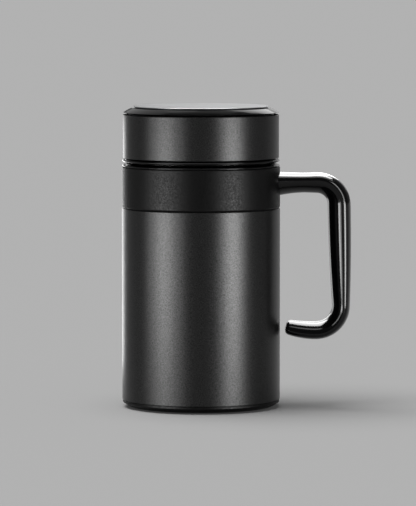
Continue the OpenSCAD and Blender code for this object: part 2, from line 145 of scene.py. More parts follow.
liner_corner = (mouth_r - liner_corner_r, liner_z + liner_corner_r)
liner = turn("steel_liner", [(0, liner_low.z)]
    + arc(liner_corner, liner_corner_r + liner_t, -90, 0, liner_corner_steps)
    + [(mouth_r + liner_t, lip_z - lip_h), (lip_r, lip_z - lip_h)]
    + arc((lip_r - lip_round, lip_z - lip_round), lip_round, 0, 90)
    + arc((mouth_r + lip_round, lip_z - lip_round), lip_round, 90, 180)
    + arc(liner_corner, liner_corner_r, 0, -90, liner_corner_steps)
    + [(0, liner_z)])
soften_edges(liner, liner_edge)

# Electropolished stainless steel: a bright cool mirror that is slightly blurred,
# with faint rings left by drawing, about 0.8 mm apart so that they show
steel, nodes = new_material("electropolished_stainless_steel")
place = add_node(nodes, "ShaderNodeTexCoord")
axes = add_node(nodes, "ShaderNodeSeparateXYZ", links={"Vector": place.outputs["Object"]})
rings = add_node(nodes, "ShaderNodeTexNoise", {"noise_dimensions": "1D"},
    {"Scale": 1 / (0.8 * MM), "Detail": 3.0}, {"W": axes.outputs["Z"]})
haze = add_node(nodes, "ShaderNodeTexNoise", None,
    {"Scale": 1 / (9 * MM), "Detail": 3.0}, {"Vector": place.outputs["Object"]})
gloss = add_node(nodes, "ShaderNodeMapRange", None, {"To Min": 0.16, "To Max": 0.3}, {"Value": haze.outputs["Fac"]})
marks = add_node(nodes, "ShaderNodeBump", None, {"Strength": 0.25, "Distance": 0.01 * MM},
    {"Height": rings.outputs["Fac"]})
shader = add_node(nodes, "ShaderNodeBsdfPrincipled", None,
    {"Base Color": linear("#c4c3bf"), "Metallic": 1.0},
    {"Roughness": gloss.outputs["Result"], "Normal": marks.outputs["Normal"]})
add_node(nodes, "ShaderNodeOutputMaterial", None, None, {"Surface": shader.outputs["BSDF"]})
liner.data.materials.append(steel)
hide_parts("inner_liner")
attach(liner, "mug")

# Vacuum parts: copper foil round the liner, a grey getter pellet, the welded steel bottom
# and the bead of solder that closes its pump-out hole. All are shut inside the wall,
# so the CAD solids stay and get their own finishes.

# Rolled copper foil: a warm bright metal with shallow creases from wrapping, about 6 mm apart
copper, nodes = new_material("rolled_copper_foil")
place = add_node(nodes, "ShaderNodeTexCoord")
creases = add_node(nodes, "ShaderNodeTexVoronoi", {"feature": "DISTANCE_TO_EDGE"},
    {"Scale": 1 / (6 * MM)}, {"Vector": place.outputs["Object"]})
tarnish = add_node(nodes, "ShaderNodeTexNoise", None,
    {"Scale": 1 / (12 * MM), "Detail": 4.0}, {"Vector": place.outputs["Object"]})
tone = add_node(nodes, "ShaderNodeMix", {"data_type": "RGBA"}, {"A": linear("#c47a4e"), "B": linear("#a8623c")},
    {"Factor": tarnish.outputs["Fac"]})
folds = add_node(nodes, "ShaderNodeBump", None, {"Strength": 0.4, "Distance": 0.1 * MM},
    {"Height": creases.outputs["Distance"]})
shader = add_node(nodes, "ShaderNodeBsdfPrincipled", None, {"Metallic": 1.0, "Roughness": 0.28},
    {"Base Color": tone.outputs["Result"], "Normal": folds.outputs["Normal"]})
add_node(nodes, "ShaderNodeOutputMaterial", None, None, {"Surface": shader.outputs["BSDF"]})
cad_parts["foil_wrap"].material_slots[0].material = copper

# Sintered getter powder: dull dark grey, pitted by its 0.3 mm grains
sinter, nodes = new_material("sintered_getter_powder")
place = add_node(nodes, "ShaderNodeTexCoord")
grains = add_node(nodes, "ShaderNodeTexVoronoi", None, {"Scale": 1 / (0.3 * MM)},
    {"Vector": place.outputs["Object"]})
tone = add_node(nodes, "ShaderNodeMix", {"data_type": "RGBA"}, {"A": linear("#6b6c6e"), "B": linear("#838486")},
    {"Factor": grains.outputs["Distance"]})
pits = add_node(nodes, "ShaderNodeBump", None, {"Strength": 0.5, "Distance": 0.06 * MM},
    {"Height": grains.outputs["Distance"]})
shader = add_node(nodes, "ShaderNodeBsdfPrincipled", None, {"Metallic": 0.6, "Roughness": 0.7},
    {"Base Color": tone.outputs["Result"], "Normal": pits.outputs["Normal"]})
add_node(nodes, "ShaderNodeOutputMaterial", None, None, {"Surface": shader.outputs["BSDF"]})
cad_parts["getter"].material_slots[0].material = sinter

# Mill-finish stainless sheet: greyer than the liner, with straight rolling lines about 0.5 mm apart
sheet, nodes = new_material("mill_finish_stainless_sheet")
place = add_node(nodes, "ShaderNodeTexCoord")
stretch = add_node(nodes, "ShaderNodeMapping", None, {"Scale": (1 / (0.5 * MM), 1 / (12 * MM), 1 / (0.5 * MM))},
    {"Vector": place.outputs["Object"]})
lines = add_node(nodes, "ShaderNodeTexNoise", None, {"Scale": 1.0, "Detail": 2.0},
    {"Vector": stretch.outputs["Vector"]})
gloss = add_node(nodes, "ShaderNodeMapRange", None, {"To Min": 0.3, "To Max": 0.48}, {"Value": lines.outputs["Fac"]})
scores = add_node(nodes, "ShaderNodeBump", None, {"Strength": 0.2, "Distance": 0.01 * MM},
    {"Height": lines.outputs["Fac"]})
shader = add_node(nodes, "ShaderNodeBsdfPrincipled", None, {"Base Color": linear("#b3b3b1"), "Metallic": 1.0},
    {"Roughness": gloss.outputs["Result"], "Normal": scores.outputs["Normal"]})
add_node(nodes, "ShaderNodeOutputMaterial", None, None, {"Surface": shader.outputs["BSDF"]})
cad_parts["shell_bottom"].material_slots[0].material = sheet
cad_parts["vacuum_plug"].material_slots[0].material = sheet

# Outer wall: a stainless tube drawn in at the shoulder to the neck, sprayed on the outside.
# The collar is pushed over the drawn-in end, flush with the wall, and leaves a fine seam.
shoulder_angle = 45
wall_edge = 0.1 * MM
shell_t = 0.5 * MM
seam = 0.3 * MM
fit = 0.1 * MM
lip_over = 0.5 * MM
collar_t = 2.2 * MM
register_h = 2.5 * MM
wall_low, wall_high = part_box("outer_shell")
collar_low, collar_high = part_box("handle_collar")
wall_r = wall_high.x
neck_r = lip_r - lip_over
register_r = wall_r - collar_t - fit
shoulder_z = collar_low.z + register_h
neck_z = shoulder_z + register_r - neck_r
neck_in = shell_t * math.tan(math.radians(shoulder_angle / 2))
wall = turn("painted_wall", [(wall_r, wall_low.z), (wall_r, collar_low.z - seam),
    (wall_r - seam, collar_low.z), (register_r, collar_low.z), (register_r, shoulder_z),
    (neck_r, neck_z), (neck_r, wall_high.z), (neck_r - shell_t, wall_high.z),
    (neck_r - shell_t, neck_z - neck_in), (register_r - shell_t, shoulder_z - neck_in),
    (register_r - shell_t, collar_low.z - shell_t), (wall_r - shell_t, collar_low.z - shell_t),
    (wall_r - shell_t, wall_low.z), (wall_r, wall_low.z)])
soften_edges(wall, wall_edge)

# Satin metallic black paint: dark flakes in a clear binder, which give soft upright bands of light
# with a fine sparkle in them. Real flakes are under 0.1 mm; they are drawn about 0.5 mm so that they show.
paint, nodes = new_material("satin_metallic_black_paint")
place = add_node(nodes, "ShaderNodeTexCoord")
flakes = add_node(nodes, "ShaderNodeTexNoise", None,
    {"Scale": 1 / (0.5 * MM), "Detail": 2.0, "Roughness": 0.7}, {"Vector": place.outputs["Object"]})
shine = add_node(nodes, "ShaderNodeMapRange", None, {"From Min": 0.3, "From Max": 0.7},
    {"Value": flakes.outputs["Fac"]})
tone = add_node(nodes, "ShaderNodeMix", {"data_type": "RGBA"}, {"A": linear("#242424"), "B": linear("#434343")},
    {"Factor": shine.outputs["Result"]})
spray = add_node(nodes, "ShaderNodeTexNoise", None,
    {"Scale": 1 / (14 * MM), "Detail": 2.0}, {"Vector": place.outputs["Object"]})
gloss = add_node(nodes, "ShaderNodeMapRange", None, {"To Min": 0.34, "To Max": 0.37}, {"Value": spray.outputs["Fac"]})
round_way = add_node(nodes, "ShaderNodeTangent", {"direction_type": "RADIAL", "axis": "Z"})
grain = add_node(nodes, "ShaderNodeBump", None, {"Strength": 0.2, "Distance": 0.012 * MM},
    {"Height": flakes.outputs["Fac"]})
shader = add_node(nodes, "ShaderNodeBsdfPrincipled", None,
    {"Metallic": 0.95, "Anisotropic": 0.35, "Anisotropic Rotation": 0.25},
    {"Base Color": tone.outputs["Result"], "Roughness": gloss.outputs["Result"], "Normal": grain.outputs["Normal"],
        "Tangent": round_way.outputs["Tangent"]})
add_node(nodes, "ShaderNodeOutputMaterial", None, None, {"Surface": shader.outputs["BSDF"]})
wall.data.materials.append(paint)
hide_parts("outer_shell")
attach(wall, "mug")

# Foot: a cap moulded in black ABS and pushed into the wall's lower end, with a dark seam above its band
# and a slightly swollen chamfer below it. Its underside has a round recess for the pad.
foot_gap = 0.45 * MM
foot_edge = 0.12 * MM
foot_band = 1.15 * MM
foot_draft = 0.12 * MM
foot_chamfer = 4.2 * MM
foot_swell = 0.25 * MM
cap_floor_t = 1.4 * MM
cap_spigot_t = 2 * MM
foot_low, foot_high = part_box("base_cap")
pad_low, pad_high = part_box("foot_pad")
foot_r = foot_high.x
foot_top = wall_low.z - foot_gap
spigot_r = wall_r - shell_t - fit
pad_hole_r = pad_high.x + fit
cap_floor_z = pad_high.z + cap_floor_t


# Points of a half outline that swells by a little between two places, to the right of the way
def swollen(start, end, swell, steps=10):
    length = math.dist(start, end)
    side = ((end[1] - start[1]) / length, (start[0] - end[0]) / length)
    points = []
    for i in range(steps + 1):
        t = i / steps
        out = 4 * swell * t * (1 - t)
        points.append((start[0] + (end[0] - start[0]) * t + side[0] * out,
            start[1] + (end[1] - start[1]) * t + side[1] * out))
    return points


foot = turn("moulded_foot", [(0, pad_high.z), (pad_hole_r, pad_high.z), (pad_hole_r, foot_low.z)]
    + swollen((foot_r - foot_chamfer, foot_low.z), (foot_r, foot_top - foot_band), foot_swell)
    + [(foot_r - foot_draft, foot_top), (spigot_r, foot_top), (spigot_r, foot_high.z),
        (spigot_r - cap_spigot_t, foot_high.z), (spigot_r - cap_spigot_t, cap_floor_z), (0, cap_floor_z)])
soften_edges(foot, foot_edge)

# Spark-textured black ABS: a satin moulding that spreads light widely and darkly,
# with the mould's 0.25 mm pits, drawn at 0.9 mm so that they show
satin_abs, nodes = new_material("spark_textured_black_abs")
place = add_node(nodes, "ShaderNodeTexCoord")
pits = add_node(nodes, "ShaderNodeTexNoise", None,
    {"Scale": 1 / (0.9 * MM), "Detail": 3.0}, {"Vector": place.outputs["Object"]})
tone = add_node(nodes, "ShaderNodeMix", {"data_type": "RGBA"}, {"A": linear("#040404"), "B": linear("#090909")},
    {"Factor": pits.outputs["Fac"]})
gloss = add_node(nodes, "ShaderNodeMapRange", None,
    {"From Min": 0.3, "From Max": 0.7, "To Min": 0.31, "To Max": 0.52}, {"Value": pits.outputs["Fac"]})
texture = add_node(nodes, "ShaderNodeBump", None, {"Strength": 0.5, "Distance": 0.05 * MM},
    {"Height": pits.outputs["Fac"]})
shader = add_node(nodes, "ShaderNodeBsdfPrincipled", None, {"IOR": 1.45, "Specular IOR Level": 0.17},
    {"Base Color": tone.outputs["Result"], "Roughness": gloss.outputs["Result"], "Normal": texture.outputs["Normal"]})
add_node(nodes, "ShaderNodeOutputMaterial", None, None, {"Surface": shader.outputs["BSDF"]})
foot.data.materials.append(satin_abs)
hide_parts("base_cap")
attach(foot, "mug")

# Foot pad: a silicone disc bonded into the foot's recess, half a millimetre proud of it.
# The mug stands on it, so its edge is rounded and its face has two shallow grip rings.
pad_round = 0.35 * MM
pad_edge = 0.06 * MM
grip_ring_depth = 0.25 * MM
grip_ring_w = 1.2 * MM
grip_ring_places = (0.62, 0.84)
pad_r = pad_high.x
pad_ring_z = pad_low.z + grip_ring_depth
pad_outline = [(0, pad_low.z)]
for share in grip_ring_places:
    at = share * pad_r
    pad_outline += [(at - grip_ring_w, pad_low.z), (at - grip_ring_w / 2, pad_ring_z),
        (at + grip_ring_w / 2, pad_ring_z), (at + grip_ring_w, pad_low.z)]
pad_outline += arc((pad_r - pad_round, pad_low.z + pad_round), pad_round, -90, 0)
pad = turn("silicone_pad", pad_outline + [(pad_r, pad_high.z), (0, pad_high.z)])
soften_edges(pad, pad_edge)

# Dark silicone: matt and slightly dusty, so it has almost no highlight;
# its skin is grained at about 0.7 mm
dark_silicone, nodes = new_material("dark_matt_silicone")
place = add_node(nodes, "ShaderNodeTexCoord")
skin = add_node(nodes, "ShaderNodeTexNoise", None,
    {"Scale": 1 / (0.7 * MM), "Detail": 4.0}, {"Vector": place.outputs["Object"]})
dust = add_node(nodes, "ShaderNodeTexNoise", None,
    {"Scale": 1 / (8 * MM), "Detail": 5.0}, {"Vector": place.outputs["Object"]})
tone = add_node(nodes, "ShaderNodeMix", {"data_type": "RGBA"}, {"A": linear("#26262a"), "B": linear("#343437")},
    {"Factor": dust.outputs["Fac"]})
texture = add_node(nodes, "ShaderNodeBump", None, {"Strength": 0.2, "Distance": 0.02 * MM},
    {"Height": skin.outputs["Fac"]})
shader = add_node(nodes, "ShaderNodeBsdfPrincipled", None, {"IOR": 1.41, "Roughness": 0.75},
    {"Base Color": tone.outputs["Result"], "Normal": texture.outputs["Normal"]})
add_node(nodes, "ShaderNodeOutputMaterial", None, None, {"Surface": shader.outputs["BSDF"]})
pad.data.materials.append(dark_silicone)
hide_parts("foot_pad")
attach(pad, "mug")

# Collar: a ring moulded in the foot's black ABS and pushed over the neck, flush with the wall.
# It carries the handle: a block inside it takes the heads of two screws. Its lower edge is cut back
# on a slant, so that it meets the wall in a dark line.
collar_edge = 0.1 * MM
boss_edge = 0.4 * MM
boss_edge_steps = 2
collar_top_t = 2.2 * MM
seam_depth = 0.6 * MM
seam_up = 0.95 * MM
arm_drop = 8.8 * MM
boss_w = 14.4 * MM
boss_h = 6.8 * MM
boss_sink = 0.5 * MM
screws_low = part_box("handle_screws")[0]
head_h = 1.5 * MM
arm_z = collar_high.z - arm_drop
boss_x = screws_low.x + head_h
collar_in_r = wall_r - collar_t
collar = turn("handle_collar_ring", [(collar_in_r, collar_low.z), (wall_r - seam_depth, collar_low.z),
    (wall_r, collar_low.z + seam_up), (wall_r, collar_high.z - seam), (wall_r - seam, collar_high.z),
    (neck_r + fit, collar_high.z), (neck_r + fit, collar_high.z - collar_top_t),
    (collar_in_r, collar_high.z - collar_top_t), (collar_in_r, collar_low.z)])
soften_edges(collar, collar_edge)


# Joins one piece to another, or cuts it away, and clears the tool piece up
def shape_with(piece, tool, operation):
    bpy.ops.object.select_all(action="DESELECT")
    piece.select_set(True)
    bpy.context.view_layer.objects.active = piece
    bpy.ops.object.modifier_add(type="BOOLEAN")
    step = piece.modifiers[-1]
    step.operation = operation
    step.solver = "EXACT"
    step.object = tool
    bpy.ops.object.modifier_apply(modifier=step.name)
    bpy.data.objects.remove(tool)


bpy.ops.object.select_all(action="DESELECT")
bpy.ops.mesh.primitive_cube_add(size=1)
boss = bpy.context.object
boss_end = collar_in_r + boss_sink
bpy.ops.object.mode_set(mode="EDIT")
bpy.ops.mesh.select_all(action="SELECT")
bpy.ops.transform.resize(value=(boss_end - boss_x, boss_w, boss_h))
bpy.ops.transform.translate(value=((boss_end + boss_x) / 2, 0, arm_z))
bpy.ops.mesh.bevel(offset=boss_edge, segments=boss_edge_steps, affect="EDGES")
bpy.ops.object.mode_set(mode="OBJECT")
shape_with(collar, boss, "UNION")
collar.data.materials.append(satin_abs)
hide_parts("handle_collar")
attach(collar, "mug")

# Handle: one solid moulding in polished black ABS, in the shape of a J with an egg-shaped section.
# Its upper arm flares into a saddle that is screwed to the collar, and its lower end hangs free.
HANDLE_SIDES = 32
HANDLE_SMOOTHING = 2
HANDLE_SMOOTH_TO = 50
NEAR = MM / 100
arm_steps, bend_steps, grip_steps, hook_steps = 12, 14, 14, 8
tip_angles = (0, 25, 50, 72, 90)
end_insets = (0.9 * MM, 1.2 * MM)
root_in = 3.5 * MM
grip_reach = 32.3 * MM
upper_bend_r = 12 * MM
lower_bend_r = 13.8 * MM
grip_lean = 1.14
grip_l = 55 * MM
hook_l = 14.2 * MM
hook_rise = 12
flare_l = 14 * MM
flare_low = 0.75
egg = 0.35
tip_round = 2.4 * MM
root_t, arm_t, grip_t, grip_end_t, tip_t = 12.8 * MM, 10.8 * MM, 12.6 * MM, 9.8 * MM, 8.3 * MM
root_w, arm_w, grip_w, tip_w = 21 * MM, 18.5 * MM, 18 * MM, 14 * MM
arm_l = root_in + grip_reach - upper_bend_r * math.cos(math.radians(grip_lean))
upper_turn = math.radians(90 - grip_lean)
lower_turn = math.radians(90 + grip_lean)
flare_end = root_in + flare_l
grip_s = arm_l + upper_bend_r * upper_turn
hook_s = grip_s + grip_l + lower_bend_r * lower_turn
handle_runs = [(arm_l, 0, arm_steps), (upper_bend_r * upper_turn, upper_turn, bend_steps),
    (grip_l, 0, grip_steps), (lower_bend_r * lower_turn, lower_turn, bend_steps),
    (hook_l, math.radians(hook_rise), hook_steps)]
half_turn = [math.radians(t) for t in range(181)]
egg_peak = max(math.sin(t) * (1 + egg * math.cos(t)) for t in half_turn)
# A subdivided ring shrinks a little, so each section starts that much larger
plump = 3 / (2 + math.cos(2 * math.pi / HANDLE_SIDES))


# A size of the section at a length along the centre line
def handle_size(s, root, arm, grip, grip_end, tip):
    if s < flare_end:
        t = max(0.0, (s - root_in) / flare_l)
        return arm + (root - arm) * (1 - t) ** 2
    if s < grip_s:
        return arm + (grip - arm) * (s - flare_end) / (grip_s - flare_end)
    if s < hook_s:
        t = min(1.0, (s - grip_s) / grip_l)
        return grip + (grip_end - grip) * t * t
    t = (s - hook_s) / hook_l
    return grip_end + (tip - grip_end) * t * t


# Centre of a section, its heading, and its half thickness and half width
def handle_section(x, z, heading, s, on=0.0, draw=0.0):
    sag = handle_size(s, (root_t - arm_t) * (flare_low - 0.5), 0, 0, 0, 0)
    half_t = handle_size(s, root_t, arm_t, grip_t, grip_end_t, tip_t) / 2 - draw
    half_w = handle_size(s, root_w, arm_w, grip_w, grip_w, tip_w) / 2 - draw
    centre = Vector((x + on * math.cos(heading), 0, z + on * math.sin(heading) - sag))
    return centre, heading, half_t * plump, half_w * plump / egg_peak


sections = []
x, z, heading, s = wall_r - root_in, arm_z, 0.0, 0.0
for length, bend, steps in handle_runs:
    for k in range(steps):
        sections.append(handle_section(x, z, heading, s))
        step_bend = bend / steps
        chord = length / steps
        if bend:
            chord = 2 * length / bend * math.sin(step_bend / 2)
        x += chord * math.cos(heading - step_bend / 2)
        z += chord * math.sin(heading - step_bend / 2)
        heading -= step_bend
        s += length / steps
for angle in tip_angles:
    rounding = math.radians(angle)
    sections.append(handle_section(x, z, heading, s, tip_round * math.sin(rounding),
        tip_round * (1 - math.cos(rounding))))

bpy.ops.object.select_all(action="DESELECT")
bpy.ops.mesh.primitive_circle_add(vertices=HANDLE_SIDES, radius=MM)
handle = bpy.context.object
handle.name = "j_handle"
handle.data.name = "j_handle"
bpy.ops.object.mode_set(mode="EDIT")
bpy.ops.mesh.select_mode(type="VERT")
bpy.ops.mesh.select_all(action="SELECT")
bpy.ops.transform.rotate(value=math.pi / 2, orient_axis="Y", center_override=(0, 0, 0))


# Selects the points of the mesh in edit mode that a test picks by their place
def pick_points(piece, test):
    mesh = bmesh.from_edit_mesh(piece.data)
    for point in mesh.verts:
        point.select_set(test(point.co))
    mesh.select_flush(True)
    bmesh.update_edit_mesh(piece.data)


# The round section is drawn out at its outer side and in at its inner side, pair of points by pair
for k in range(HANDLE_SIDES // 2 + 1):
    height = math.cos(2 * math.pi * k / HANDLE_SIDES)
    pick_points(handle, lambda co: abs(co.z - height * MM) < NEAR)
    bpy.ops.transform.resize(value=(1, 1 + egg * height, 1), center_override=(0, 0, height * MM))
bpy.ops.mesh.select_all(action="SELECT")
here, heading, half_t, half_w = sections[0]
bpy.ops.transform.resize(value=(1, half_w / MM, half_t / MM), center_override=(0, 0, 0))
bpy.ops.transform.translate(value=here)
bpy.ops.mesh.edge_face_add()
bpy.ops.mesh.select_mode(type="EDGE")
for there, new_heading, new_t, new_w in sections[1:]:
    bpy.ops.mesh.extrude_edges_move(TRANSFORM_OT_translate={"value": there - here})
    if new_heading != heading:
        bpy.ops.transform.rotate(value=new_heading - heading, orient_axis="Y", center_override=there)
    stretch = new_t / half_t
    bpy.ops.transform.resize(value=(stretch, new_w / half_w, stretch), center_override=there)
    here, heading, half_t, half_w = there, new_heading, new_t, new_w
bpy.ops.mesh.edge_face_add()
for inset in end_insets:
    bpy.ops.mesh.inset(thickness=inset)
bpy.ops.mesh.select_all(action="SELECT")
bpy.ops.mesh.normals_make_consistent(inside=False)
bpy.ops.object.mode_set(mode="OBJECT")
bpy.ops.object.modifier_add(type="SUBSURF")
smoothing = handle.modifiers[-1]
smoothing.levels = HANDLE_SMOOTHING
smoothing.render_levels = HANDLE_SMOOTHING
bpy.ops.object.modifier_apply(modifier=smoothing.name)
bpy.ops.object.select_all(action="DESELECT")
saddle_h = 2 * collar_top_t + collar_high.z - collar_low.z
bpy.ops.mesh.primitive_cylinder_add(vertices=2 * TURN_STEPS, radius=wall_r + fit / 2, depth=saddle_h,
    location=(0, 0, (collar_high.z + collar_low.z) / 2))
saddle = bpy.context.object
shape_with(handle, saddle, "DIFFERENCE")
bpy.ops.object.shade_smooth_by_angle(angle=math.radians(HANDLE_SMOOTH_TO))

# Polished black ABS: a deep black with sharp window-like reflections, only slightly wavy from moulding;
# handling has left it a touch hazier in patches of about 20 mm
gloss_abs, nodes = new_material("polished_black_abs")
place = add_node(nodes, "ShaderNodeTexCoord")
handling = add_node(nodes, "ShaderNodeTexNoise", None,
    {"Scale": 1 / (20 * MM), "Detail": 4.0}, {"Vector": place.outputs["Object"]})
flow = add_node(nodes, "ShaderNodeTexNoise", None,
    {"Scale": 1 / (7 * MM), "Detail": 1.0}, {"Vector": place.outputs["Object"]})
gloss = add_node(nodes, "ShaderNodeMapRange", None, {"To Min": 0.07, "To Max": 0.15},
    {"Value": handling.outputs["Fac"]})
tone = add_node(nodes, "ShaderNodeMix", {"data_type": "RGBA"}, {"A": linear("#050506"), "B": linear("#09090a")},
    {"Factor": handling.outputs["Fac"]})
waves = add_node(nodes, "ShaderNodeBump", None, {"Strength": 0.06, "Distance": 0.05 * MM},
    {"Height": flow.outputs["Fac"]})
shader = add_node(nodes, "ShaderNodeBsdfPrincipled", None, {"IOR": 1.5, "Specular IOR Level": 0.3},
    {"Base Color": tone.outputs["Result"], "Roughness": gloss.outputs["Result"], "Normal": waves.outputs["Normal"]})
add_node(nodes, "ShaderNodeOutputMaterial", None, None, {"Surface": shader.outputs["BSDF"]})
handle.data.materials.append(gloss_abs)
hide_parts("handle")
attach(handle, "mug")

# Handle screws: two small pan-head screws driven from inside the collar into the handle's root.
# They are hidden between the collar and the neck, so the CAD solids stay, in the mill-finish steel.
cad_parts["handle_screws"].material_slots[0].material = sheet

# Neck sleeve: a ring moulded in the handle's ABS and pushed over the steel neck. Its rounded flange holds
# the collar down, and an undercut ledge keeps the gap above it black. Three thread ridges start round it
# a third of a turn apart, and each fades in and out of the wall.
sleeve_edge = 0.08 * MM
bead = 0.5 * MM
flange_h = 1.6 * MM
step_h = 0.8 * MM
step_inset = 1.6 * MM
step_under = 0.9 * MM
flange_cut = 0.35 * MM
sleeve_t = 1.4 * MM
thread_h = 1.1 * MM
thread_top = 1.5 * MM
ridge_w = 2.3 * MM
crest_w = 0.9 * MM
ridge_sink = 0.5 * MM
fade_in = 0.12 * MM
run_out = 24
lead = 12 * MM
thread_gap = 0.4 * MM
flank_gap = 0.3 * MM
thread_low = 0.7 * MM
RIDGE_STEPS = 60
sleeve_low, sleeve_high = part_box("neck_sleeve")
inner_low, inner_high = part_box("lid_inner_cap")
flange_r = sleeve_high.x
flange_z = sleeve_low.z + flange_h
flange_top = flange_z - flange_cut
sleeve_in_r = neck_r + fit
sleeve_r = sleeve_in_r + sleeve_t
bore_r = sleeve_r + thread_h + thread_gap
flank_slope = (ridge_w - crest_w) / 2 / thread_h
cap_thread_z = inner_low.z + thread_low + ridge_w / 2
neck_thread_z = cap_thread_z + crest_w + flank_slope * (thread_h - thread_gap) + flank_gap
ridge_turn = 360 / lead * (sleeve_high.z - thread_top - ridge_w / 2 - neck_thread_z)


# The ridges of a three-start thread on a round wall, outwards with side 1 and inwards with side -1
def thread_ridges(wall_at, side, start_z):
    foot_w = ridge_w + 2 * flank_slope * ridge_sink
    bpy.ops.object.select_all(action="DESELECT")
    bpy.ops.mesh.primitive_plane_add(size=1)
    ridge = bpy.context.object
    bpy.ops.object.mode_set(mode="EDIT")
    bpy.ops.mesh.select_mode(type="VERT")
    bpy.ops.mesh.select_all(action="SELECT")
    bpy.ops.transform.rotate(value=math.pi / 2, orient_axis="X", center_override=(0, 0, 0))
    bpy.ops.transform.resize(value=(thread_h + ridge_sink, 1, foot_w), center_override=(0, 0, 0))
    bpy.ops.transform.translate(value=(wall_at + side * (thread_h - ridge_sink) / 2, 0, start_z))
    pick_points(ridge, lambda co: side * (co.x - wall_at) > 0)
    bpy.ops.transform.resize(value=(1, 1, crest_w / foot_w), center_override=(0, 0, start_z))
    bpy.ops.mesh.select_all(action="SELECT")
    bpy.ops.mesh.delete(type="ONLY_FACE")
    bpy.ops.object.mode_set(mode="OBJECT")
    bpy.ops.object.modifier_add(type="SCREW")
    winding = ridge.modifiers[-1]
    winding.angle = math.radians(ridge_turn)
    winding.screw_offset = lead * ridge_turn / 360
    winding.steps = RIDGE_STEPS
    winding.render_steps = RIDGE_STEPS
    winding.use_merge_vertices = False
    bpy.ops.object.modifier_apply(modifier=winding.name)
    bpy.ops.object.mode_set(mode="EDIT")
    bpy.ops.mesh.select_mode(type="VERT")
    bpy.ops.mesh.select_all(action="SELECT")
    bpy.ops.mesh.fill_holes(sides=4)
    crest_r = wall_at + side * thread_h
    for k in range(RIDGE_STEPS + 1):
        angle = ridge_turn * k / RIDGE_STEPS
        fade = min(1.0, angle / run_out, (ridge_turn - angle) / run_out)
        if fade < 1:
            level = start_z + lead * angle / 360
            low_r = wall_at + side * (thread_h * fade - fade_in * (1 - fade))
            pick_points(ridge, lambda co: abs(math.hypot(co.x, co.y) - crest_r) < MM / 20
                and abs(abs(co.z - level) - crest_w / 2) < NEAR)
            bpy.ops.transform.resize(value=(low_r / crest_r, low_r / crest_r, 1), center_override=(0, 0, 0))
    bpy.ops.mesh.select_all(action="SELECT")
    bpy.ops.mesh.normals_make_consistent(inside=False)
    for k in range(2):
        bpy.ops.mesh.duplicate()
        bpy.ops.transform.rotate(value=2 * math.pi / 3, orient_axis="Z", center_override=(0, 0, 0))
    bpy.ops.object.mode_set(mode="OBJECT")
    return ridge


sleeve = turn("threaded_neck_sleeve", [(sleeve_in_r, sleeve_low.z)]
    + swollen((flange_r - bead, sleeve_low.z), (flange_r - bead, flange_top), bead)
    + [(flange_r - step_inset - step_under, flange_top), (flange_r - step_inset, flange_z + step_h),
        (sleeve_r, flange_z + step_h), (sleeve_r, sleeve_high.z - seam),
        (sleeve_r - seam, sleeve_high.z), (sleeve_in_r, sleeve_high.z), (sleeve_in_r, sleeve_low.z)])
shape_with(sleeve, thread_ridges(sleeve_r, 1, neck_thread_z), "UNION")
soften_edges(sleeve, sleeve_edge)
sleeve.data.materials.append(gloss_abs)
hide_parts("neck_sleeve")
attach(sleeve, "mug")

# Neck gasket: a round silicone ring squeezed between the sleeve and the rolled lip.
# The CAD ring already has that shape, so it stays, in the dark silicone.
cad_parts["neck_gasket"].material_slots[0].material = dark_silicone

# Lid's inner cap: one ABS moulding with the hollow plug that fills the mouth, the threaded skirt round
# the neck and the rounded glossy ring that shows under the painted sleeve. A groove parts the ring
# from the sleeve.
cap_edge = 0.08 * MM
cap_wall = 1.85 * MM
cap_upper_t = 1.5 * MM
ceiling_gap = 1.2 * MM
ceiling_t = 2 * MM
plug_gap = 1.4 * MM
plug_wall = 2.8 * MM
plug_floor_t = 1.6 * MM
groove_h = 3.6 * MM
groove_depth = 1.3 * MM
groove_up = 2.6 * MM
ring_gap_h = 0.8 * MM
ring_gap_depth = 1.3 * MM
ring_gap_under = 0.3 * MM
lid_low, lid_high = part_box("lid_shell")
plug_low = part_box("lid_insulation")[0].z - plug_floor_t
ring_r = inner_high.x
ring_top = lid_low.z - ring_gap_h
ring_gap_r = ring_r - ring_gap_depth
cap_r = bore_r + cap_wall
upper_r = cap_r - cap_upper_t
plug_r = mouth_r - plug_gap
cup_r = plug_r - plug_wall
groove_r = plug_r - groove_depth
groove_z = plug_low + groove_up
ceiling_z = lip_z + ceiling_gap
inner_cap = turn("threaded_inner_cap", [(0, plug_low), (plug_r - seam, plug_low),
    (plug_r, plug_low + seam), (plug_r, groove_z), (groove_r, groove_z), (groove_r, groove_z + groove_h),
    (plug_r, groove_z + groove_h), (plug_r, ceiling_z), (bore_r, ceiling_z), (bore_r, inner_low.z + seam),
    (bore_r + seam, inner_low.z)]
    + swollen((ring_r - bead, inner_low.z), (ring_r - bead, ring_top), bead)
    + [(ring_gap_r - ring_gap_under, ring_top), (ring_gap_r, lid_low.z), (cap_r, lid_low.z),
        (cap_r, inner_high.z), (upper_r, inner_high.z), (upper_r, ceiling_z + ceiling_t),
        (cup_r, ceiling_z + ceiling_t), (cup_r, plug_low + plug_floor_t), (0, plug_low + plug_floor_t)])
shape_with(inner_cap, thread_ridges(bore_r, -1, cap_thread_z), "UNION")
soften_edges(inner_cap, cap_edge)
inner_cap.data.materials.append(gloss_abs)
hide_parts("lid_inner_cap")
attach(inner_cap, "lid")

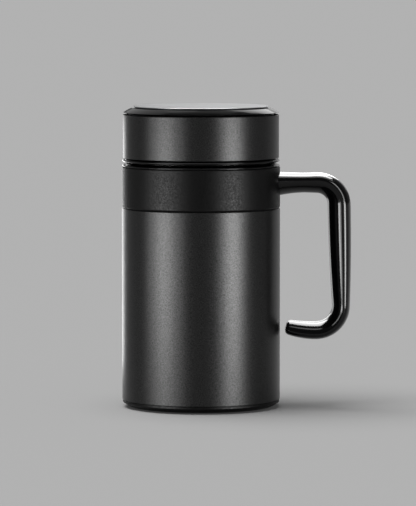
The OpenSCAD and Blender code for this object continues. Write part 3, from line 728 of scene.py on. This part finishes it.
# Lid seal: a soft ring of milky silicone, moulded with two wiping lips that bear on the mouth.
# It is stretched into the plug's groove, where it rises with the lid but needn't turn with it.
seal_gap = 0.15 * MM
seal_lip = 0.18 * MM
seal_edge = 0.06 * MM
SEAL_BANDS = 5
LIP_TURN = 60
LIP_STEPS = 6
seal_low, seal_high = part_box("lid_seal")
seal_in_r = groove_r + seal_gap
seal_step = (seal_high.z - seal_low.z) / SEAL_BANDS
seal = turn("two_lip_seal", [(seal_in_r, seal_low.z), (plug_r, seal_low.z)]
    + arc((seal_high.x - seal_lip, seal_low.z + seal_step), seal_lip, -LIP_TURN, LIP_TURN, LIP_STEPS)
    + [(plug_r, seal_low.z + 2 * seal_step), (plug_r, seal_high.z - 2 * seal_step)]
    + arc((seal_high.x - seal_lip, seal_high.z - seal_step), seal_lip, -LIP_TURN, LIP_TURN, LIP_STEPS)
    + [(plug_r, seal_high.z), (seal_in_r, seal_high.z), (seal_in_r, seal_low.z)])
soften_edges(seal, seal_edge)

# Milky silicone: soft and slightly translucent, pale with a low sheen
# and a faint cloudiness of about 5 mm
milky_silicone, nodes = new_material("milky_silicone")
place = add_node(nodes, "ShaderNodeTexCoord")
cloud = add_node(nodes, "ShaderNodeTexNoise", None,
    {"Scale": 1 / (5 * MM), "Detail": 3.0}, {"Vector": place.outputs["Object"]})
tone = add_node(nodes, "ShaderNodeMix", {"data_type": "RGBA"}, {"A": linear("#d2d2cb"), "B": linear("#e0e0da")},
    {"Factor": cloud.outputs["Fac"]})
gloss = add_node(nodes, "ShaderNodeMapRange", None, {"To Min": 0.4, "To Max": 0.55}, {"Value": cloud.outputs["Fac"]})
shader = add_node(nodes, "ShaderNodeBsdfPrincipled", None,
    {"IOR": 1.41, "Subsurface Weight": 0.2, "Subsurface Scale": 0.5 * MM},
    {"Base Color": tone.outputs["Result"], "Roughness": gloss.outputs["Result"]})
add_node(nodes, "ShaderNodeOutputMaterial", None, None, {"Surface": shader.outputs["BSDF"]})
seal.data.materials.append(milky_silicone)
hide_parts("lid_seal")
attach(seal, "seal")

# Foam puck: closed-cell foam, cut from sheet to fill the hollow plug and keep heat from the lid's top.
# It is shut inside the lid, so the CAD solid stays.

# Cut foam: pale and matt, with open cells about 0.8 mm across
foam, nodes = new_material("cut_closed_cell_foam")
place = add_node(nodes, "ShaderNodeTexCoord")
cells = add_node(nodes, "ShaderNodeTexVoronoi", None, {"Scale": 1 / (0.8 * MM)},
    {"Vector": place.outputs["Object"]})
tone = add_node(nodes, "ShaderNodeMix", {"data_type": "RGBA"}, {"A": linear("#d2ccbf"), "B": linear("#e8e4da")},
    {"Factor": cells.outputs["Distance"]})
texture = add_node(nodes, "ShaderNodeBump", None, {"Strength": 0.5, "Distance": 0.15 * MM},
    {"Height": cells.outputs["Distance"]})
shader = add_node(nodes, "ShaderNodeBsdfPrincipled", None, {"Roughness": 0.95},
    {"Base Color": tone.outputs["Result"], "Normal": texture.outputs["Normal"]})
add_node(nodes, "ShaderNodeOutputMaterial", None, None, {"Surface": shader.outputs["BSDF"]})
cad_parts["lid_insulation"].material_slots[0].material = foam

# Lid's sleeve: a short stainless tube in the wall's paint, bonded round the inner cap.
# Its two ends are rounded over.
lid_shell_t = 0.5 * MM
lid_edge = lid_shell_t / 2
lid_edge_steps = 4
lid_sleeve_edge = 0.05 * MM
lid_r = lid_high.x
lid_sleeve = turn("painted_lid_sleeve", [(lid_r - lid_shell_t, lid_low.z)]
    + arc((lid_r - lid_edge, lid_low.z + lid_edge), lid_edge, -90, 0, lid_edge_steps)
    + arc((lid_r - lid_edge, lid_high.z - lid_edge), lid_edge, 0, 90, lid_edge_steps)
    + [(lid_r - lid_shell_t, lid_high.z), (lid_r - lid_shell_t, lid_low.z)])
soften_edges(lid_sleeve, lid_sleeve_edge)
lid_sleeve.data.materials.append(paint)
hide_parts("lid_shell")
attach(lid_sleeve, "lid")

# Top ring: a cap moulded in polished black ABS and pressed into the lid, with a dark groove under a broad
# chamfer. The metal disc is bonded into its shallow recess, and the narrow rim falls a little towards it.
top_edge = 0.07 * MM
RIM_STEPS = 6
top_groove_h = 0.85 * MM
top_groove_depth = 1.3 * MM
top_lip = 0.08 * MM
top_chamfer = 4.7 * MM
top_swell = 0.12 * MM
rim_w = 0.75 * MM
rim_round = 1.2 * MM
rim_drop = 0.2 * MM
rim_fall = 0.25 * MM
top_plate_t = 2 * MM
top_spigot_t = 1.6 * MM
top_low, top_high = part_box("lid_top_cap")
glue_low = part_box("disc_adhesive")[0]
top_r = top_high.x
top_z = lid_high.z + seam
rim_r = top_r - top_chamfer
recess_r = rim_r - rim_w
top_spigot_r = upper_r - fit
plate_z = glue_low.z - top_plate_t
lip_low_z = top_z + top_groove_h
lip_high_z = lip_low_z + top_lip
chamfer_tilt = math.atan2(top_chamfer, top_high.z - lip_high_z)
rim_cut = rim_round * math.tan((math.pi / 2 - chamfer_tilt) / 2)
rim_z = top_high.z - rim_drop
rim_edge_r = rim_r + rim_drop * math.tan(chamfer_tilt)
rim_centre = (rim_edge_r - rim_cut, rim_z - rim_round)
chamfer_end = (rim_edge_r + rim_cut * math.sin(chamfer_tilt), rim_z - rim_cut * math.cos(chamfer_tilt))
top_ring = turn("chamfered_top_ring", [(0, plate_z), (top_spigot_r - top_spigot_t, plate_z),
    (top_spigot_r - top_spigot_t, top_low.z), (top_spigot_r, top_low.z), (top_spigot_r, top_z),
    (top_spigot_r + fit, top_z), (top_r - top_groove_depth, lip_low_z), (top_r, lip_low_z)]
    + swollen((top_r, lip_high_z), chamfer_end, top_swell)
    + arc(rim_centre, rim_round, math.degrees(chamfer_tilt), 90, RIM_STEPS)[1:]
    + [(recess_r, rim_z - rim_fall), (recess_r, glue_low.z), (0, glue_low.z)])
soften_edges(top_ring, top_edge)
top_ring.data.materials.append(gloss_abs)
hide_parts("lid_top_cap")
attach(top_ring, "lid")

# Disc: a slightly domed aluminium plate with a bevelled edge, turned and then satin-finished.
# A film of adhesive holds it in the recess, and its undercut side shows as a black line.
DOME_STEPS = 14
disc_edge = 0.06 * MM
disc_bevel = 0.35 * MM
disc_dome = 0.5 * MM
disc_under = 0.95 * MM
disc_low, disc_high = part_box("lid_disc")
disc_r = disc_high.x
shoulder_r = disc_r - disc_bevel
disc_edge_z = disc_high.z - disc_dome
dome = []
for i in range(DOME_STEPS + 1):
    t = 1 - i / DOME_STEPS
    dome.append((shoulder_r * t, disc_edge_z + disc_dome * (1 - t * t)))
disc = turn("satin_disc", [(0, disc_low.z), (disc_r - disc_under, disc_low.z),
    (disc_r - disc_under, rim_z), (disc_r, disc_edge_z - disc_bevel)] + dome)
soften_edges(disc, disc_edge)

# Satin turned aluminium: pale grey metal whose fine turning rings blur every reflection.
# The rings are 0.05 mm apart on the real disc and are drawn about 0.6 mm apart so that they show.
aluminium, nodes = new_material("satin_turned_aluminium")
place = add_node(nodes, "ShaderNodeTexCoord")
flat = add_node(nodes, "ShaderNodeVectorMath", {"operation": "MULTIPLY"}, None, {0: place.outputs["Object"]})
flat.inputs[1].default_value = (1, 1, 0)
radius = add_node(nodes, "ShaderNodeVectorMath", {"operation": "LENGTH"}, None, {0: flat.outputs["Vector"]})
rings = add_node(nodes, "ShaderNodeTexNoise", {"noise_dimensions": "1D"},
    {"Scale": 1 / (0.6 * MM), "Detail": 3.0, "Roughness": 0.6}, {"W": radius.outputs["Value"]})
bloom = add_node(nodes, "ShaderNodeTexNoise", None,
    {"Scale": 1 / (15 * MM), "Detail": 3.0}, {"Vector": place.outputs["Object"]})
gloss = add_node(nodes, "ShaderNodeMapRange", None, {"To Min": 0.27, "To Max": 0.37}, {"Value": bloom.outputs["Fac"]})
tone = add_node(nodes, "ShaderNodeMix", {"data_type": "RGBA"}, {"A": linear("#bcbdbf"), "B": linear("#c9cacb")},
    {"Factor": rings.outputs["Fac"]})
grooves = add_node(nodes, "ShaderNodeBump", None, {"Strength": 0.1, "Distance": 0.01 * MM},
    {"Height": rings.outputs["Fac"]})
shader = add_node(nodes, "ShaderNodeBsdfPrincipled", None, {"Metallic": 1.0},
    {"Base Color": tone.outputs["Result"], "Roughness": gloss.outputs["Result"], "Normal": grooves.outputs["Normal"]})
add_node(nodes, "ShaderNodeOutputMaterial", None, None, {"Surface": shader.outputs["BSDF"]})
disc.data.materials.append(aluminium)
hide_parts("lid_disc")
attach(disc, "lid")

# Adhesive film: a thin layer cut from sheet and pressed flat between the disc and the top ring.
# It is hidden under the disc, so the CAD solid stays.

# Adhesive: amber-grey, tacky and half glossy, with small trapped voids about 1.5 mm apart
adhesive, nodes = new_material("adhesive_film")
place = add_node(nodes, "ShaderNodeTexCoord")
voids = add_node(nodes, "ShaderNodeTexVoronoi", None, {"Scale": 1 / (1.5 * MM)},
    {"Vector": place.outputs["Object"]})
tone = add_node(nodes, "ShaderNodeMix", {"data_type": "RGBA"}, {"A": linear("#5c5a52"), "B": linear("#6e6b61")},
    {"Factor": voids.outputs["Distance"]})
shader = add_node(nodes, "ShaderNodeBsdfPrincipled", None, {"Roughness": 0.45, "IOR": 1.47},
    {"Base Color": tone.outputs["Result"]})
add_node(nodes, "ShaderNodeOutputMaterial", None, None, {"Surface": shader.outputs["BSDF"]})
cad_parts["disc_adhesive"].material_slots[0].material = adhesive

# Floor: a wide plain pale table with a light of its own, so that it is as pale far away as near.
# A faint even tone, which the camera and reflections see, keeps the mug's shadow on it soft.
FLOOR_SIZE = 120
bpy.ops.object.select_all(action="DESELECT")
bpy.ops.mesh.primitive_plane_add(size=FLOOR_SIZE)
floor = bpy.context.object
floor.name = "pale_floor"
pale, nodes = new_material("plain_pale_floor")
ray = add_node(nodes, "ShaderNodeLightPath")
seen = add_node(nodes, "ShaderNodeMath", {"operation": "MAXIMUM"}, None,
    {0: ray.outputs["Is Camera Ray"], 1: ray.outputs["Is Glossy Ray"]})
seen = add_node(nodes, "ShaderNodeMath", {"operation": "MAXIMUM"}, None,
    {0: seen.outputs["Value"], 1: ray.outputs["Is Transmission Ray"]})
even = add_node(nodes, "ShaderNodeEmission", None, {"Color": linear("#333333")},
    {"Strength": seen.outputs["Value"]})
lit = add_node(nodes, "ShaderNodeBsdfDiffuse", None, {"Color": linear("#adadad")})
both = add_node(nodes, "ShaderNodeAddShader", None, None, {0: even.outputs["Emission"], 1: lit.outputs["BSDF"]})
add_node(nodes, "ShaderNodeOutputMaterial", None, None, {"Surface": both.outputs["Shader"]})
floor.data.materials.append(pale)


# Light: low soft strips in front draw the wall's two upright bands, a close one behind on the left draws
# its bright edge, and panels behind and above light the lid's ring and disc. None of them lights the floor.
STRIP_H = 0.11
strip_z = STRIP_H / 2
grip_z = 0.33
lid_place = (0, 0, 0.16)


# A group of one piece, for lights that reach nothing else, as if cards kept them off the rest
def reached_alone(piece):
    group = bpy.data.collections.new(piece.name + "_alone")
    group.objects.link(piece)
    return group


# Adds a lamp that faces from its place to its aim
def add_lamp(kind, name, place, aim, watts, reaches=None):
    bpy.ops.object.light_add(type=kind, location=place)
    lamp = bpy.context.object
    lamp.name = name
    lamp.rotation_euler = (Vector(aim) - Vector(place)).to_track_quat("-Z", "Y").to_euler()
    lamp.data.energy = watts
    if reaches is not None:
        lamp.light_linking.receiver_collection = reaches
    return lamp


# Adds an even rectangular panel that is seen only in reflections
def soft_panel(name, place, aim, size, watts, reaches=None):
    panel = add_lamp("AREA", name, place, aim, watts, reaches)
    panel.data.shape = "RECTANGLE"
    panel.data.size, panel.data.size_y = size
    panel.visible_camera = False
    panel.visible_diffuse = False


# The strips, each with a brighter core
for name, x, y, width, watts in (("left_panel", -0.439, -0.332, 0.56, 1.4),
        ("left_panel_core", -0.431, -0.326, 0.21, 0.82), ("right_panel", 0.39, -0.388, 0.38, 1.07),
        ("right_panel_core", 0.383, -0.381, 0.185, 1.0)):
    soft_panel(name, (x, y, strip_z), (0, 0, strip_z), (width, STRIP_H), watts)
soft_panel("left_edge_panel", (-0.1, 0.19, 0.075), (-0.043, 0, 0.075), (0.09, 0.15), 0.11)
soft_panel("back_panel", (0.31, 1.5, 0.79), (0.31, 0, 0.79), (0.78, 1.1), 1.75)
soft_panel("back_right_panel", (0.44, 1.49, 1.1), lid_place, (0.46, 0.85), 1.7)
soft_panel("back_left_panel", (-0.5, 1.5, 1.2), (-0.1, 0, 0.16), (0.75, 1.5), 1.1)
soft_panel("high_back_panel", (0.05, 1.5, 2.2), (0.05, 0, 0.16), (1.1, 0.8), 0.5)
soft_panel("top_panel", (0, 0, 2.2), (0, 0, 0), (3, 0.8), 24)

# The handle's white streaks come from two panels behind, and the lines on its grip from two in front
handle_alone = reached_alone(handle)
soft_panel("high_rim_panel", (-0.1, 0.75, 1.419), (-0.1, 0, 0.12), (1.8, 0.75), 62, handle_alone)
soft_panel("low_rim_panel", (-0.275, 1.27, 0.915), (-0.275, 0, 0.12), (1.45, 1.24), 27, handle_alone)
soft_panel("left_grip_panel", (-0.431, -0.326, grip_z), (0, 0, grip_z), (0.21, 0.44), 1.7, handle_alone)
soft_panel("right_grip_panel", (0.383, -0.381, grip_z), (0, 0, grip_z), (0.2, 0.44), 2.2, handle_alone)

# Dim panels all round the disc make it pale metal from every side
disc_alone = reached_alone(disc)
DISC_PANEL_WAYS = (45, 90, 135, 180, 225, 270, 315)
DISC_PANEL_OFF = 1.5
DISC_PANEL_Z = 1.1
for way in DISC_PANEL_WAYS:
    x = DISC_PANEL_OFF * math.sin(math.radians(way))
    y = DISC_PANEL_OFF * math.cos(math.radians(way))
    soft_panel("disc_panel_%d" % way, (x, y, DISC_PANEL_Z), lid_place, (1.3, 1.3), 2.2, disc_alone)

# The floor's own light is soft and stands high on the left, so the shadow falls to the right
floor_light = add_lamp("SUN", "floor_light", (-0.28, 0, 1), (0, 0, 0), 2.81, reached_alone(floor))
floor_light.data.angle = math.radians(55)

# The room is dim, so that the black surfaces stay dark where no panel or floor shows in them
ROOM_LEVEL = 0.12
world = bpy.data.worlds.new("dim_studio")
bpy.context.scene.world = world
world.use_nodes = True
world.node_tree.nodes.clear()
air = add_node(world.node_tree, "ShaderNodeBackground", None,
    {"Color": linear("#ffffff"), "Strength": ROOM_LEVEL})
add_node(world.node_tree, "ShaderNodeOutputWorld", None, None, {"Surface": air.outputs["Background"]})

# Camera: a long lens a little above the lid, square to the plane of the handle.
# It stands just right of the mug's axis, so that the handle is framed as in the photo.
SENSOR_W = 36
LENS = 287.5
SIGHT_END = 200
camera_place = Vector((0.0038, -2.2, 0.25))
camera_aim = Vector((0.0038, 0, 0.084))
bpy.ops.object.camera_add(location=camera_place)
camera = bpy.context.object
camera.rotation_euler = (camera_aim - camera_place).to_track_quat("-Z", "Y").to_euler()
camera.data.sensor_width = SENSOR_W
camera.data.lens = LENS
camera.data.clip_end = SIGHT_END
bpy.context.scene.camera = camera
bpy.context.scene.view_settings.view_transform = "Standard"
